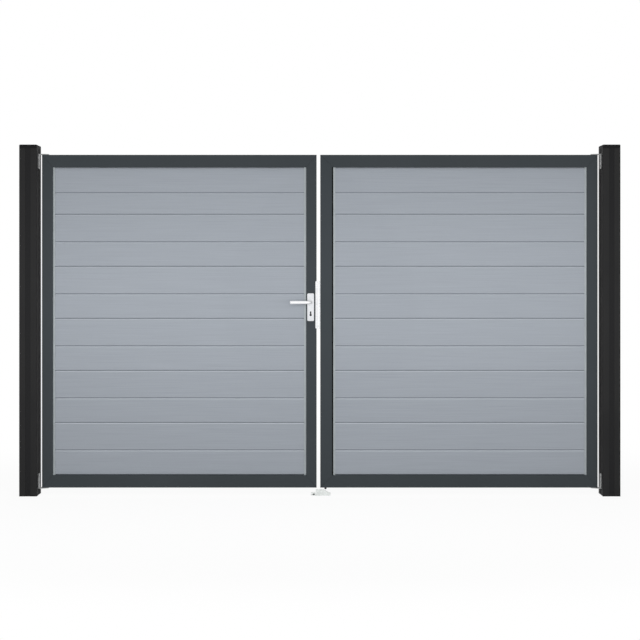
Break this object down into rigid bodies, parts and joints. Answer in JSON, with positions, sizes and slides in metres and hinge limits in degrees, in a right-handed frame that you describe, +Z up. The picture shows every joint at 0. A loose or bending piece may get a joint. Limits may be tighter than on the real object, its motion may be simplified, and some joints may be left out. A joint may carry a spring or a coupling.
{
  "type": "double swing gate",
  "caption": "Two-leaf swing gate with dark box frames and silver grooved boards, hung on pivot brackets between square posts, with lever lock, drop bolt and ground stop.",
  "frame": {"origin": "middle of the left post's foot, at ground level", "axes": "+X along the gate from the left post to the right post, +Y away from the viewer, +Z up"},
  "size_m": [3.238, 0.172, 1.895],
  "materials": {
    "post_coat": "black powder coat",
    "cap_plastic": "matt",
    "bracket_steel": "satin",
    "galvanised_steel": "galvanised",
    "frame_coat": "anthracite powder coat",
    "board_coat": "silver-grey powder coat",
    "channel_aluminium": "satin",
    "bush_plastic": "matt",
    "stainless_steel": "satin",
    "lock_dark": "blackened",
    "rod_coat": "black coated"
  },
  "bodies": {
    "posts": {"left_post": "post_coat", "right_post": "post_coat", "left_post_cap": "cap_plastic", "right_post_cap": "cap_plastic", "ground_stop": "galvanised_steel", "left_top_hinge_bracket": "bracket_steel", "left_bottom_hinge_bracket": "bracket_steel", "right_top_hinge_bracket": "bracket_steel", "right_bottom_hinge_bracket": "bracket_steel"},
    "left_leaf": {"left_hinge_stile": "frame_coat", "left_lock_stile": "frame_coat", "left_top_rail": "frame_coat", "left_bottom_rail": "frame_coat", "left_board_1": "board_coat", "left_board_2": "board_coat", "left_board_3": "board_coat", "left_board_4": "board_coat", "left_board_5": "board_coat", "left_board_6": "board_coat", "left_edge_channels": "channel_aluminium", "left_pivot_bushes": "bush_plastic", "front_handle_plate": "stainless_steel", "back_handle_plate": "stainless_steel", "lock_cylinder": "lock_dark", "lock_forend": "stainless_steel", "lock_bolts": "stainless_steel"},
    "right_leaf": {"right_hinge_stile": "frame_coat", "right_meeting_stile": "frame_coat", "right_top_rail": "frame_coat", "right_bottom_rail": "frame_coat", "right_board_1": "board_coat", "right_board_2": "board_coat", "right_board_3": "board_coat", "right_board_4": "board_coat", "right_board_5": "board_coat", "right_board_6": "board_coat", "right_edge_channels": "channel_aluminium", "right_pivot_bushes": "bush_plastic", "lock_keep": "stainless_steel", "drop_bolt_guides": "rod_coat"},
    "lever": {"front_lever": "stainless_steel", "back_lever": "stainless_steel", "handle_spindle": "stainless_steel"},
    "drop_bolt": {"drop_rod": "rod_coat"}
  },
  "joints": [
    {"name": "left_leaf_swing", "type": "hinge", "parent": "posts", "child": "left_leaf", "pos_m": [0.089, 0, 0.942], "axis": [0, 0, 1], "range_deg": [0, 105]},
    {"name": "right_leaf_swing", "type": "hinge", "parent": "posts", "child": "right_leaf", "pos_m": [3.054, 0, 0.942], "axis": [0, 0, -1], "range_deg": [0, 105]},
    {"name": "lever_turn", "type": "hinge", "parent": "left_leaf", "child": "lever", "pos_m": [1.522, 0, 1.045], "axis": [0, -1, 0], "range_deg": [0, 45], "stiffness_Nm_per_rad": 1.5, "springref_deg": -28.65},
    {"name": "drop_bolt_slide", "type": "slide", "parent": "right_leaf", "child": "drop_bolt", "axis": [0, 0, -1], "range_m": [0, 0.024]}
  ]
}
